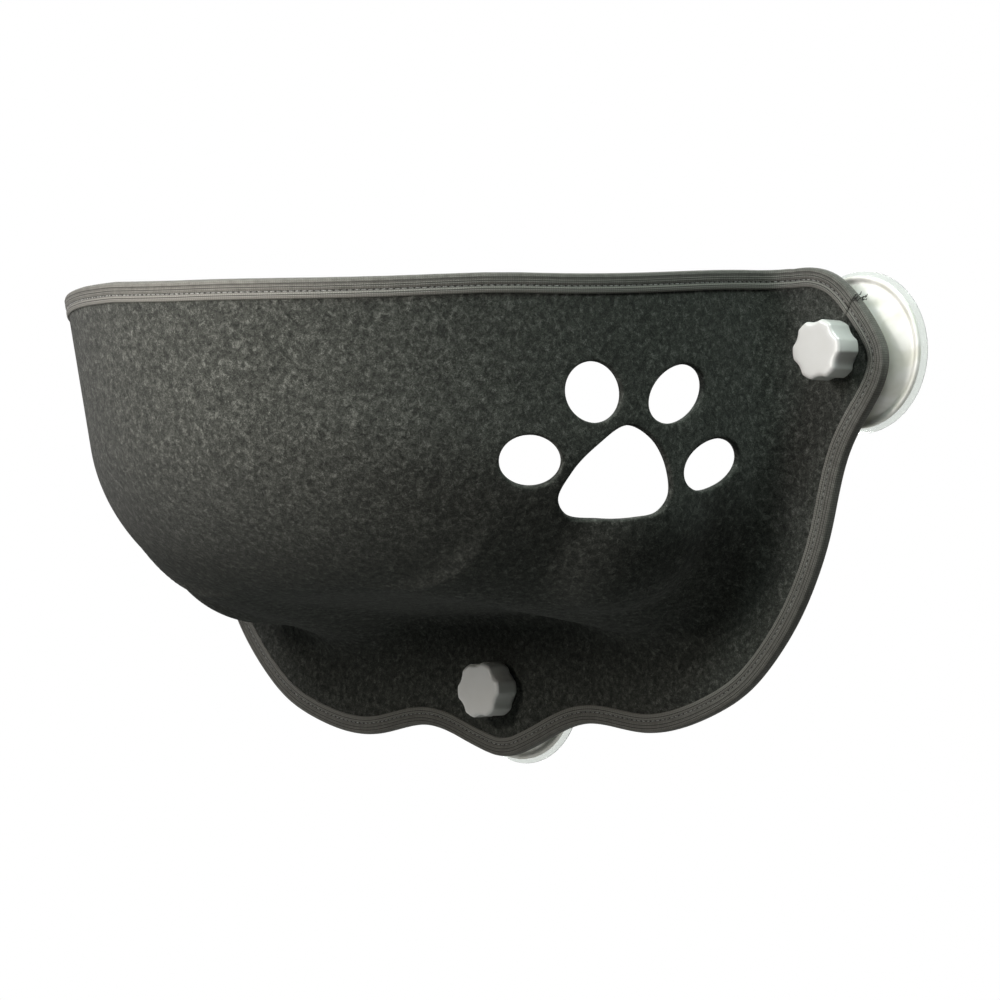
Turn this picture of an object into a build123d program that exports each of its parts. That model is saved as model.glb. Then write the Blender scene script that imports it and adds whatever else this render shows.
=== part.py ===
from build123d import *
import math
import os

# Window mounted cat perch: a half bowl of thermoformed felt with a flat flange,
# held against the glass by three screw-down suction mounts.
# Millimetres. The glass is the plane Y = 0, the room is on the -Y side, Z is up.
# The origin is the centre of the lower suction mount, on the glass.

# Felt shell
felt_thickness = 5.0
flange_stand_off = 15.0
bowl_inset = 76.0
bowl_depth = 272.0
side_draft_share = 0.033
front_draft_share = 0.21
plan_handle_share = 0.58
rim_height = 230.0
rim_dip = 7.0
rim_front_drop = 3.5
rim_dip_share = 0.6
floor_height = 44.0
floor_slope_share = 0.084
floor_corner_radius = 84.0
corner_steps = 6

# Two rounded feet of the bowl, one each side of the hollow over the lower knob
lobe_inset = 97.0
lobe_axis_height = 121.0
lobe_radius = 92.0
lobe_turn_in = 33.0
lobe_front_radius = 60.0
lobe_length = 150.0

# Round heels that fill out the lower corners of the bowl behind its front
heel_inset = 78.0
heel_from_flange = 61.0
heel_axis_height = 110.0
heel_radius = 67.0

# Flange outline, right half, from the rim corner round the ear to the bottom tab,
# as shares of the half width and of the heights above and below the lower mount
flange_half_width = 291.0
flange_drop = 39.0
outline_shares = (
    (0.790, 0.999),
    (0.820, 0.999),
    (0.849, 0.994),
    (0.893, 0.970),
    (0.935, 0.920),
    (0.976, 0.850),
    (1.000, 0.774),
    (0.987, 0.709),
    (0.948, 0.639),
    (0.905, 0.561),
    (0.874, 0.461),
    (0.848, 0.352),
    (0.814, 0.252),
    (0.770, 0.157),
    (0.711, 0.065),
    (0.637, -0.100),
    (0.551, -0.410),
    (0.465, -0.600),
    (0.382, -0.655),
    (0.302, -0.568),
    (0.227, -0.513),
    (0.158, -0.620),
    (0.095, -0.808),
    (0.052, -0.926),
    (0.026, -0.982),
)
outline_samples = 192

# Tape sewn round every cut edge
binding_width = 10.0
binding_thickness = 1.0
mitre_inset = 18.0
mitre_below_rim = 18.0
mitre_lean = 30.0

# Paw-shaped ventilation holes in the right wall, as seen square on from outside:
# place along the wall, height, half length, half width, tilt in degrees
paw_inset = 21.5
paw_y = -127.1
paw_facing = -20.1
paw_size = 100.0
paw_base_height = 92.0
toe_shares = (
    (-0.501, 0.317, 0.174, 0.137, -14.0),
    (-0.155, 0.686, 0.173, 0.162, 146.0),
    (0.371, 0.683, 0.203, 0.141, 34.0),
    (0.615, 0.300, 0.207, 0.130, 24.0),
)
pad_shares = (
    (0.062, 0.509),
    (-0.131, 0.400),
    (-0.270, 0.250),
    (-0.319, 0.115),
    (-0.248, 0.022),
    (-0.078, 0.001),
    (0.112, 0.006),
    (0.254, 0.037),
    (0.326, 0.126),
    (0.317, 0.271),
    (0.217, 0.437),
)
paw_cut_depth = 45.0

# Suction mounts, one under the bowl and one in each ear
mount_inset = 29.0
mount_below_rim = 47.5
lip_radius = 45.0
lip_contact_width = 6.0
lip_edge_thickness = 1.2
lip_slope_width = 2.5
pad_thickness = 3.0
cavity_depth = 1.6
boss_radius = 13.0
boss_height = 7.5
stud_radius = 4.0
stud_foot_radius = 10.5
stud_foot_thickness = 2.0
stud_foot_height = 4.0
stud_length = 37.0
cover_radius = 42.0
cover_wall = 2.0
cover_top_radius = 12.5
cover_bulge = 1.4
cover_hub_radius = 9.0
hole_clearance = 0.3
thread_clearance = 0.05

# Eyelet set in the felt, washer, knob and its nut
eyelet_wall = 0.9
eyelet_flange_radius = 9.0
eyelet_flange_thickness = 0.6
washer_radius = 12.0
washer_thickness = 1.5
knob_radius = 16.8
knob_height = 20.0
knob_lobes = 6
knob_rest_turn = 4.0
scallop_radius = 12.0
scallop_depth = 1.7
scallop_edge_radius = 3.0
knob_edge_radius = 1.8
knob_neck_radius = 13.0
knob_neck_height = 2.6
nut_across_flats = 13.0
nut_thickness = 6.5
nut_recess = 1.0
knob_bore_depth = 17.0

# How far cutters and blanks run past the surfaces they cut
overrun = 30.0

felt_back = flange_stand_off
felt_front = flange_stand_off + felt_thickness
cover_top = flange_stand_off - eyelet_flange_thickness
washer_back = felt_front + eyelet_flange_thickness
knob_back = washer_back + washer_thickness
eyelet_bore = stud_radius + hole_clearance
eyelet_outer = eyelet_bore + eyelet_wall
bowl_half_width = flange_half_width - bowl_inset
rim_dip_height = rim_height - rim_dip
rim_front_height = rim_height - rim_front_drop
lobe_x = bowl_half_width - lobe_inset
paw_x = bowl_half_width - paw_inset
mount_x = flange_half_width - mount_inset
mount_rise = rim_height - mount_below_rim
mitre_half_width = flange_half_width - mitre_inset
mitre_height = rim_height - mitre_below_rim
mount_places = {
    "left": (-mount_x, mount_rise),
    "right": (mount_x, mount_rise),
    "bottom": (0, 0),
}


def mount_plane(x, z):
    """Plane on the glass at a mount, looking into the room, with its y up."""
    return Plane(origin=(x, 0, z), x_dir=(1, 0, 0), z_dir=(0, -1, 0))


def section_face(level, inset, grow, back):
    """Section of the bowl parallel to its floor, at a level over the lower mount.

    Two quarter curves meet in front, and the side at the glass is open.
    """
    below_rim = rim_height - level
    side = bowl_half_width - side_draft_share * below_rim
    front = (bowl_depth - front_draft_share * below_rim) / (
        1 - front_draft_share * floor_slope_share
    )
    half = side + grow - inset
    depth = front + grow - inset
    start = -felt_front

    def at(x, y):
        return (x, y, level + floor_slope_share * (start - y))

    handle_x = plan_handle_share * half
    handle_y = start - plan_handle_share * depth
    tip = start - depth
    right = Bezier(at(half, start), at(half, handle_y), at(handle_x, tip), at(0, tip))
    left = Bezier(at(0, tip), at(-handle_x, tip), at(-half, handle_y), at(-half, start))
    frame = Polyline(at(-half, start), at(-half, back), at(half, back), at(half, start))
    return make_face([right, left, frame])


def bowl_body(grow, back):
    """Solid of the bowl's outside, grown by a wall or drawn in by one."""
    floor = floor_height - grow
    corner = floor_corner_radius + grow
    sections = []
    for step in range(corner_steps + 1):
        turn = math.pi / 2 * step / corner_steps
        level = floor + corner * (1 - math.cos(turn))
        inset = corner * (1 - math.sin(turn))
        sections.append(section_face(level, inset, grow, back))
    wall_top = section_face(rim_height + overrun, 0, grow, back)
    body = loft(sections) + loft([sections[-1], wall_top], ruled=True)
    for side in (-1, 1):
        body += lobe_body(side, grow, back)
        body += heel_body(side, grow)
    return body


def lobe_body(side, grow, back):
    """One rounded foot, widest at the flange and fading out under the bowl."""
    run = felt_front + back
    narrowing = (lobe_radius - lobe_front_radius) / lobe_length
    wide = lobe_radius + narrowing * run + grow
    narrow = lobe_front_radius + grow
    wide_x = side * (lobe_x + lobe_turn_in * run / lobe_length)
    narrow_x = side * (lobe_x - lobe_turn_in)
    wide_plane = Plane(origin=(wide_x, back, lobe_axis_height), z_dir=(0, -1, 0))
    narrow_y = -felt_front - lobe_length
    narrow_plane = Plane(origin=(narrow_x, narrow_y, lobe_axis_height), z_dir=(0, -1, 0))
    return loft([wide_plane * Circle(wide), narrow_plane * Circle(narrow)], ruled=True)


def heel_body(side, grow):
    """One round heel that fills out a lower corner of the bowl."""
    heel_x = side * (bowl_half_width - heel_inset)
    middle = Pos(heel_x, -felt_front - heel_from_flange, heel_axis_height)
    return middle * Sphere(heel_radius + grow)


def above_rim(lift):
    """Everything over the rim line, which dips along the sides of the bowl."""
    start = -felt_front
    dip_y = start - rim_dip_share * bowl_depth
    end_y = start - bowl_depth
    far_y = end_y - overrun
    top = rim_height + 2 * overrun
    curve = ThreePointArc(
        (start, rim_height + lift),
        (dip_y, rim_dip_height + lift),
        (end_y, rim_front_height + lift),
    )
    frame = Polyline(
        (end_y, rim_front_height + lift),
        (far_y, rim_front_height + lift),
        (far_y, top),
        (overrun, top),
        (overrun, rim_height + lift),
        (start, rim_height + lift),
    )
    face = Plane.YZ * make_face([curve, frame])
    return extrude(face, flange_half_width + overrun, both=True)


def outline_curve():
    """Whole flange outline as one smooth curve, from the right ear round to the left."""
    right = []
    for across, up in outline_shares:
        height = up * rim_height if up > 0 else up * flange_drop
        right.append((across * flange_half_width, height))
    left = [(-x, z) for x, z in reversed(right)]
    points = right + [(0, -flange_drop)] + left
    return Spline(points)


def outline_face(grow):
    """Flange outline, grown or drawn in along its normals, closed along the rim."""
    curve = outline_curve()
    points = []
    for step in range(outline_samples + 1):
        share = step / outline_samples
        point = curve.position_at(share)
        along = curve.tangent_at(share)
        points.append((point.X - along.Y * grow, point.Y + along.X * grow))
    lower = Spline(points)
    top = Line(points[-1], points[0])
    return make_face([lower, top])


def flange_slab(grow, near, far):
    """Flange outline as a slab between two distances from the glass."""
    plane = mount_plane(0, 0).offset(near)
    return extrude(plane * outline_face(grow), far - near, dir=plane.z_dir)


def paw_cutters():
    """Four toes and a pad, cut square through the right wall."""
    angle = math.radians(paw_facing)
    facing = (math.cos(angle), math.sin(angle), 0)
    along = (-math.sin(angle), math.cos(angle), 0)
    plane = Plane(origin=(paw_x, paw_y, paw_base_height), x_dir=along, z_dir=facing)
    cutters = []
    for across, up, length, width, tilt in toe_shares:
        toe = Ellipse(length * paw_size, width * paw_size, rotation=tilt)
        place = Pos(across * paw_size, up * paw_size)
        cutters.append(extrude(plane * place * toe, paw_cut_depth, both=True))
    points = [(across * paw_size, up * paw_size) for across, up in pad_shares]
    pad = make_face(Spline(points, periodic=True))
    cutters.append(extrude(plane * pad, paw_cut_depth, both=True))
    return cutters


def shell():
    """Felt bowl and flange in one piece, open at the top and towards the glass."""
    body = bowl_body(0, -felt_back) + flange_slab(0, felt_back, felt_front)
    body -= bowl_body(-felt_thickness, 0)
    body -= above_rim(0)
    for cutter in paw_cutters():
        body -= cutter
    for x, z in mount_places.values():
        hole = Cylinder(eyelet_outer, felt_front + overrun)
        body -= mount_plane(x, z) * hole
    return body


def flange_band(felt):
    """Tape folded over the flange edge, before the rim's share is cut from it."""
    skin = binding_thickness
    band = flange_slab(skin, felt_back - skin, felt_front + skin)
    band -= flange_slab(-binding_width, felt_back - 2 * skin, felt_front + 2 * skin)
    band -= bowl_body(skin, 0)
    return band - felt


def corner_wedge(side):
    """Region of the ear corner that the rim's tape covers, cut off along the mitre."""
    far = flange_half_width + overrun
    lean = math.radians(mitre_lean)
    run = Vector(math.sin(lean), math.cos(lean))
    corner = Vector(mitre_half_width, mitre_height)
    foot = corner - run * 2 * binding_width
    top = corner + run * 2 * overrun
    points = [
        (0, foot.Y),
        (side * foot.X, foot.Y),
        (side * top.X, top.Y),
        (0, top.Y),
    ]
    face = make_face(Polyline(points, close=True))
    return extrude(mount_plane(0, 0) * face, far)


def rim_band(felt):
    """Tape folded over the top edge of the bowl."""
    skin = binding_thickness
    band = bowl_body(skin, skin - felt_back) - bowl_body(-felt_thickness - skin, 0)
    band &= above_rim(-binding_width)
    band -= above_rim(skin)
    return band - felt


def bindings(felt):
    """The rim's tape with its two ear ends, and the flange's tape below the mitres."""
    edge = flange_band(felt)
    rim = rim_band(felt)
    for side in (-1, 1):
        wedge = corner_wedge(side)
        rim += edge & wedge
        edge -= wedge
    return rim, edge


def turned(points):
    """Round piece from half its section, given as radius and distance from the glass."""
    face = Plane.XZ * make_face(Polyline(points, close=True))
    return revolve(face, Axis.Z)


def stud():
    """Threaded stud with a round foot moulded into the sucker."""
    foot_top = stud_foot_height + stud_foot_thickness
    return turned(
        (
            (0, stud_foot_height),
            (stud_foot_radius, stud_foot_height),
            (stud_foot_radius, foot_top),
            (stud_radius, foot_top),
            (stud_radius, stud_length),
            (0, stud_length),
        )
    )


def sucker():
    """Soft disc with a flat lip on the glass, a shallow cavity and a boss round the stud."""
    body = turned(
        (
            (0, cavity_depth),
            (lip_radius - 2 * lip_contact_width, cavity_depth),
            (lip_radius - lip_contact_width, 0),
            (lip_radius, 0),
            (lip_radius, lip_edge_thickness),
            (lip_radius - lip_slope_width, pad_thickness),
            (boss_radius, pad_thickness),
            (boss_radius, boss_height),
            (0, boss_height),
        )
    )
    return body - stud()


def cover_curve(inset):
    """Rounded side of the cover, from its foot on the sucker to its flat top."""
    foot = cover_radius - inset
    top = cover_top_radius - inset / 2
    height = cover_top - inset
    chord = Vector(top - foot, height - pad_thickness)
    outward = Vector(chord.Y, -chord.X).normalized()
    middle = Vector(foot, pad_thickness) + chord / 2 + outward * cover_bulge
    return ThreePointArc((foot, pad_thickness), middle, (top, height))


def cover():
    """Domed cover that the felt bears on, with a hub down to the sucker's boss."""
    bore = stud_radius + hole_clearance
    outside = cover_curve(0)
    inside = cover_curve(cover_wall)
    wall_top = inside @ 1
    hub = Polyline(
        tuple(outside @ 1)[:2],
        (bore, cover_top),
        (bore, boss_height),
        (cover_hub_radius, boss_height),
        (cover_hub_radius, wall_top.Y),
        (wall_top.X, wall_top.Y),
    )
    foot = Line(inside @ 0, outside @ 0)
    face = Plane.XZ * make_face([outside, hub, inside, foot])
    return revolve(face, Axis.Z)


def eyelet():
    """Rolled eyelet that lines the hole in the felt, with a collar on each face."""
    back = felt_back - eyelet_flange_thickness
    front = felt_front + eyelet_flange_thickness
    return turned(
        (
            (eyelet_bore, back),
            (eyelet_flange_radius, back),
            (eyelet_flange_radius, felt_back),
            (eyelet_outer, felt_back),
            (eyelet_outer, felt_front),
            (eyelet_flange_radius, felt_front),
            (eyelet_flange_radius, front),
            (eyelet_bore, front),
        )
    )


def washer():
    """Flat washer between the eyelet and the knob."""
    bore = stud_radius + hole_clearance
    return turned(
        (
            (bore, washer_back),
            (washer_radius, washer_back),
            (washer_radius, knob_back),
            (bore, knob_back),
        )
    )


def hexagon(height):
    """Hexagonal prism with the nut's width across flats, standing on the local plane."""
    face = RegularPolygon(nut_across_flats / 2, 6, major_radius=False)
    return extrude(face, height)


def knob():
    """Six-lobed hand knob with a flat front, and a neck with a nut pocket and a blind bore behind."""
    outline = Circle(knob_radius)
    reach = knob_radius + scallop_radius - scallop_depth
    for index in range(knob_lobes):
        turn = Rot(0, 0, (index + 0.5) * 360 / knob_lobes)
        outline -= turn * Pos(reach, 0) * Circle(scallop_radius)
    outline = fillet(outline.vertices(), scallop_edge_radius)
    body = extrude(Rot(0, 0, knob_rest_turn) * outline, knob_height - knob_neck_height)
    body = fillet(body.edges().group_by(Axis.Z)[-1], knob_edge_radius)
    to_back = (Align.CENTER, Align.CENTER, Align.MAX)
    body += Cylinder(knob_neck_radius, knob_neck_height, align=to_back)
    body = Pos(0, 0, knob_neck_height) * body
    body -= hexagon(nut_recess + nut_thickness)
    bore = Cylinder(
        stud_radius + hole_clearance,
        knob_bore_depth,
        align=(Align.CENTER, Align.CENTER, Align.MIN),
    )
    return Pos(0, 0, knob_back) * (body - bore)


def nut():
    """Hexagon nut pressed into the knob's pocket."""
    bore = Cylinder(stud_radius + thread_clearance, 2 * nut_thickness + overrun)
    return Pos(0, 0, knob_back + nut_recess) * (hexagon(nut_thickness) - bore)


os.makedirs("parts", exist_ok=True)
felt_shell = shell()
rim_tape, flange_tape = bindings(felt_shell)
export_step(felt_shell, "parts/felt_shell.step")
export_step(rim_tape, "parts/rim_binding.step")
export_step(flange_tape, "parts/flange_binding.step")

mount_pieces = {
    "sucker": sucker,
    "cover": cover,
    "stud": stud,
    "eyelet": eyelet,
    "washer": washer,
    "knob": knob,
    "knob_nut": nut,
}
for piece, make in mount_pieces.items():
    solid = make()
    for place, (x, z) in mount_places.items():
        export_step(mount_plane(x, z) * solid, f"parts/{place}_{piece}.step")
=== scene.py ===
import math

import bmesh
import bpy
import numpy as np
from mathutils import Matrix, Vector
from mathutils.geometry import delaunay_2d_cdt
from numpy.linalg import norm


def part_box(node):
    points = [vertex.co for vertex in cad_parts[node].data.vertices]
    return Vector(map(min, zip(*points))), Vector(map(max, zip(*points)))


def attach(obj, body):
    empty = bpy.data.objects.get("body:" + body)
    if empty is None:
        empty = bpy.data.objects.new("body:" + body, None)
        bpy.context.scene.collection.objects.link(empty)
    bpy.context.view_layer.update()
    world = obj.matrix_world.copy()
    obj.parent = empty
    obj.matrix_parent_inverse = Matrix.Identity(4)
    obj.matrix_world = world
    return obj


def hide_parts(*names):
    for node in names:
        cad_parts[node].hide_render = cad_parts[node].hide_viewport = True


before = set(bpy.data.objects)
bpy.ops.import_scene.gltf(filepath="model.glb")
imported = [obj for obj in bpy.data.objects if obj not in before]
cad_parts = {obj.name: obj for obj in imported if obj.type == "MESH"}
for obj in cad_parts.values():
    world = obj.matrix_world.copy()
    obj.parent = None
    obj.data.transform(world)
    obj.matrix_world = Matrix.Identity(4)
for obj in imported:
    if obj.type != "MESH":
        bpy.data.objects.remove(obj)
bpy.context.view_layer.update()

# Felt shell.
# The real piece is one sheet of 5 mm polyester needle felt, thermoformed over a mould: a half bowl
# with two rounded feet under it, flaring into a flat flange that carries the three suction mounts.
# Sizes are in millimetres. The flange's edge and its distance from the glass come from the frame.
MM = 0.001
shell_low, shell_high = (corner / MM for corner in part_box("felt_shell"))
felt_thickness = 5.0
flange_back = shell_high.y
flange_front = flange_back - felt_thickness
rim_height = shell_high.z
bowl_half_width = 215.0
bowl_depth = flange_front - shell_low.y
side_draft = 0.033
front_draft = 0.21
plan_roundness = 2.09
rim_dip = 5.3
rim_front_drop = 3.5
rim_sway = (
    (-100, 5.5), (-70, 5.0), (-36, 3.7), (-18, 2.2), (0, 0.9), (18, -0.3), (36, -1.2), (54, -2.1),
    (70, -2.9), (86, -3.5), (101, -3.9), (116, -3.9), (130, -3.5), (142, -2.7), (154, -1.6),
    (165, -0.4), (175, 0.2),
)
floor_height = 44.0
floor_slope = 0.084
floor_corner = 84.0
foot_x = 118.0
foot_height = 121.0
foot_radius = 92.0
foot_length = 150.0
foot_narrowing = 32.0
foot_turn_in = 33.0
heel_middle = np.array([137.0, -81.0, 110.0])
heel_radius = 67.0
heel_blend = 5.0
flare_blend = 17.0
foot_blend = 14.0
edge_spacing = 1.5


def unit(vectors):
    """The vectors at a length of one."""
    return vectors / norm(vectors, axis=-1, keepdims=True)


def run_lengths(points):
    """Length along a line of points, up to each of them."""
    return np.concatenate([[0], np.cumsum(norm(np.diff(points, axis=0), axis=1))])


def between(wanted, spots, table):
    """Rows of a table, read at places between its own."""
    return np.stack([np.interp(wanted, spots, column) for column in table.T], axis=-1)


def bands(rows):
    """Faces between neighbouring closed rows of point numbers."""
    faces = []
    for one, other in zip(rows, rows[1:]):
        for i in range(len(one)):
            j = (i + 1) % len(one)
            faces.append([one[i], one[j], other[j], other[i]])
    return faces


def soft_union(one, other, blend):
    """Union of two solids given as distances, with a fillet where they meet."""
    overlap = np.clip(blend - np.abs(one - other), 0, None) / blend
    return np.minimum(one, other) - overlap ** 2 * blend / 4


def mould(points):
    """Distance outside the felt's outer skin, with everything behind the skin inside."""
    x, y, z = points[..., 0], points[..., 1], points[..., 2]
    ahead = flange_front - y
    room = np.clip(ahead, 0, None)
    level = z - floor_slope * ahead
    below = rim_height - level
    half = bowl_half_width - side_draft * below
    depth = (bowl_depth - front_draft * below) / (1 - front_draft * floor_slope)
    across, along = np.abs(x) / half, room / depth
    n = plan_roundness
    least_ratio = 0.05
    ratio = np.clip((across ** n + along ** n) ** (1 / n), least_ratio, None)
    steepness = ratio ** (1 - n) * np.hypot(across ** (n - 1) / half, along ** (n - 1) / depth)
    side = (ratio - 1) / np.clip(steepness, 1 / (2 * bowl_depth), None)
    from_side = side + floor_corner
    from_floor = floor_corner - (level - floor_height)
    round_part = np.hypot(np.clip(from_side, 0, None), np.clip(from_floor, 0, None))
    bowl = round_part + np.minimum(np.maximum(from_side, from_floor), 0) - floor_corner
    share = ahead / foot_length
    centre = foot_x - foot_turn_in * share
    foot = np.hypot(np.abs(x) - centre, z - foot_height) - (foot_radius - foot_narrowing * share)
    foot = np.maximum(foot, ahead - foot_length)
    heel = norm(np.stack([np.abs(x), y, z], axis=-1) - heel_middle, axis=-1) - heel_radius
    body = soft_union(soft_union(bowl, foot, foot_blend), heel, heel_blend)
    return soft_union(body, ahead, flare_blend)


def skin_normals(points):
    """Outward normals of the felt's outer skin."""
    step = 0.5
    slopes = []
    for axis in range(3):
        shift = np.zeros(3)
        shift[axis] = step
        slopes.append(mould(points + shift) - mould(points - shift))
    return unit(np.stack(slopes, axis=-1))


def skin_hits(origins, directions, reach):
    """Where rays from inside leave the felt's outer skin."""
    near = np.zeros(origins.shape[:-1])
    far = near + reach
    halvings = 30
    for _ in range(halvings):
        middle = (near + far) / 2
        outside = mould(origins + directions * middle[..., None]) > 0
        far = np.where(outside, middle, far)
        near = np.where(outside, near, middle)
    return origins + directions * ((near + far) / 2)[..., None]


def smooth_line(points, spacing):
    """Points at an even spacing along a smooth curve through the given points."""
    points = np.asarray(points, float)
    along = run_lengths(points)
    lengths = np.diff(along)
    slopes = np.gradient(points, along, axis=0)
    count = max(2, round(along[-1] / spacing))
    wanted = np.linspace(0, along[-1], count + 1)
    index = np.clip(np.searchsorted(along, wanted, side="right") - 1, 0, len(lengths) - 1)
    span = lengths[index][:, None]
    t = ((wanted - along[index]) / lengths[index])[:, None]
    start, end = points[index], points[index + 1]
    return (
        start * (1 + 2 * t) * (1 - t) ** 2
        + slopes[index] * span * t * (1 - t) ** 2
        + end * t * t * (3 - 2 * t)
        + slopes[index + 1] * span * t * t * (t - 1)
    )


def flange_outline():
    """The flange's edge from the frame, from the right ear's top round to the left one's."""
    corners = np.array([v.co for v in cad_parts["felt_shell"].data.vertices]) / MM
    same_plane, past_bowl, least_step = 0.01, 5, 1

    def places(y):
        flat = corners[np.abs(corners[:, 1] - y) < same_plane]
        return {(round(x, 2), round(z, 2)) for x, _, z in flat}

    def turn(place):
        return (top_turn - math.atan2(place[1] - middle, place[0])) % (2 * math.pi)

    mounts = [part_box(f"{place}_eyelet") for place in ("left", "right", "bottom")]
    centres = [(low + high) / 2 / MM for low, high in mounts]
    middle = rim_height / 2
    ear_top = rim_height - 1
    beside_bowl = bowl_half_width + past_bowl
    corner_x = min(x for x, z in places(flange_back) if z > ear_top and x > beside_bowl)
    top_turn = math.atan2(rim_height - middle, corner_x - 1)
    edge = [
        place
        for place in places(flange_front) & places(flange_back)
        if (abs(place[0]) > corner_x - 0.1 or place[1] < ear_top)
        and min(math.dist(place, (c.x, c.z)) for c in centres) > 2 * felt_thickness
    ]
    edge.sort(key=turn)
    kept = edge[:1]
    for place in edge[1:]:
        if math.dist(place, kept[-1]) > least_step:
            kept.append(place)
    return smooth_line(kept, edge_spacing)


outline = flange_outline()

# The sheet is sampled on upright planes that fan out from a line behind the glass side. On each,
# the skin's section runs from the rim down the wall, back under the floor and down the flange.
fan_origin = np.array([0.0, 60.0])
section_lines = 256
section_rows = 160


def half_outline(points):
    """Upper and lower edge of the flange as heights over x, for the right half."""
    right = points[: len(points) // 2 + 1]
    tip = int(np.argmax(right[:, 0]))
    upper, lower = right[: tip + 1], right[tip:][::-1]
    return upper, lower


upper_edge, lower_edge = half_outline(outline)


def rim_line(x, y):
    """Height of the bowl's rim, which dips along its sides and sways a little across the front."""
    share = np.clip((flange_front - y) / bowl_depth, 0, 1)
    sway_from, sway_over = 0.15, 0.3
    sway = np.interp(x, *zip(*rim_sway)) * np.clip((share - sway_from) / sway_over, 0, 1)
    return rim_height - rim_front_drop * share - rim_dip * np.sin(math.pi * share) ** 2 + sway


def sheet_top(points):
    """Height of the sheet's upper edge over each point."""
    across = np.abs(points[..., 0])
    ear = np.interp(across, upper_edge[:, 0], upper_edge[:, 1])
    return np.where(across > upper_edge[0, 0], ear, rim_line(points[..., 0], points[..., 1]))


def fan_lines():
    """Horizontal directions of the section planes, spread evenly along the wall and ears."""
    face = fan_origin[1] - flange_front
    widest = outline[:, 0].max() - 0.1
    first = math.atan2(face, widest)
    trial_lines, wall_share, reach = 3000, 0.85, 400
    angles = np.linspace(first, math.pi - first, trial_lines)
    directions = np.stack([np.cos(angles), -np.sin(angles), np.zeros_like(angles)], axis=-1)
    start = face / np.sin(angles) - 1
    origins = np.array([*fan_origin, rim_height * wall_share]) + directions * start[:, None]
    hits = skin_hits(origins, directions, reach)
    along = run_lengths(hits)
    return np.interp(np.linspace(0, along[-1], section_lines), along, angles)


def section(angle):
    """Evenly spaced points of the outer skin on one plane, from the top edge to the bottom one."""
    out = np.array([math.cos(angle), -math.sin(angle), 0.0])
    face = (fan_origin[1] - flange_front) / math.sin(angle)
    setback, steepest, rays_down, reach = 30.0, math.radians(78), (260, 160), 700
    top, lowest, least_gap = rim_height + 6, shell_low.z - 20, 0.2
    origin = np.array([*fan_origin, top]) + out * (face - setback)
    downs = np.linspace(0, steepest, rays_down[0])
    flange_heights = np.linspace(top - setback * math.tan(steepest), lowest, rays_down[1])
    downs = np.concatenate([downs, np.arctan((top - flange_heights[1:]) / setback)])
    rays = out * np.cos(downs)[:, None] - np.array([0, 0, 1]) * np.sin(downs)[:, None]
    hits = skin_hits(np.broadcast_to(origin, rays.shape), rays, reach)
    over = sheet_top(hits) - hits[:, 2]
    first = int(np.argmax(over > 0))
    share = -over[first - 1] / (over[first] - over[first - 1])
    begin = hits[first - 1] + (hits[first] - hits[first - 1]) * share
    flange_x = face * math.cos(angle)
    bottom = np.interp(abs(flange_x), lower_edge[:, 0], lower_edge[:, 1])
    kept = hits[first:][hits[first:, 2] > bottom + least_gap]
    line = np.vstack([begin, kept, [flange_x, flange_front, bottom]])
    along = run_lengths(line)
    wanted = np.linspace(0, along[-1], section_rows)
    return between(wanted, along, line)


lattice = np.array([section(angle) for angle in fan_lines()])

# The paw-shaped air holes are punched square through the right wall, and three round holes in the
# flange take the mount eyelets. Each is cut into the sheet by remeshing the cells round it.
paw_centre = np.array([193.5, -127.1, 92.0])
paw_facing = math.radians(-20.1)
toes = (
    (-50.1, 31.7, 17.4, 13.7, -14),
    (-15.5, 68.6, 17.3, 16.2, 146),
    (37.1, 68.3, 20.3, 14.1, 34),
    (61.5, 30.0, 20.7, 13.0, 24),
)
pad = (
    (6.2, 50.9), (-13.1, 40.0), (-27.0, 25.0), (-31.9, 11.5), (-24.8, 2.2), (-7.8, 0.1),
    (11.2, 0.6), (25.4, 3.7), (32.6, 12.6), (31.7, 27.1), (21.7, 43.7),
)
cut_rounding = 1.3
rounding_steps = 4
hole_spacing = 1.8
eyelet_hole = 5.3


def ellipse(x, z, length, width, tilt, spacing):
    """Outline of an ellipse whose long half leans by tilt degrees, anticlockwise."""
    count = round(math.pi * (length + width) / spacing)
    turns = np.linspace(0, 2 * math.pi, count, endpoint=False)
    along, beside = length * np.cos(turns), width * np.sin(turns)
    lean = math.radians(tilt)
    across = x + along * math.cos(lean) - beside * math.sin(lean)
    return np.stack([across, z + along * math.sin(lean) + beside * math.cos(lean)], axis=-1)


def closed_line(points, spacing):
    """Smooth closed outline through the given points, anticlockwise."""
    wrap, finer = 3, 8
    looped = np.array(points[-wrap:] + points + points[:wrap], float)
    dense = smooth_line(looped, spacing / finer)
    first = np.argmin(norm(dense - looped[wrap], axis=1))
    half = len(dense) // 2
    last = half + np.argmin(norm(dense[half:] - looped[wrap + len(points)], axis=1))
    ring = dense[first:last:finer]
    area = np.sum(ring[:, 0] * np.roll(ring[:, 1], -1) - ring[:, 1] * np.roll(ring[:, 0], -1))
    return ring if area > 0 else ring[::-1]


def grown(ring, distance):
    """Outline moved outwards by a distance; it runs anticlockwise."""
    along = unit(np.roll(ring, -1, axis=0) - np.roll(ring, 1, axis=0))
    return ring + distance * np.stack([along[:, 1], -along[:, 0]], axis=-1)


def border(index):
    """Point numbers round a block of the lattice."""
    return [*index[:, 0], *index[-1, 1:], *index[-2::-1, -1], *index[0, -2:0:-1]]


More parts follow.
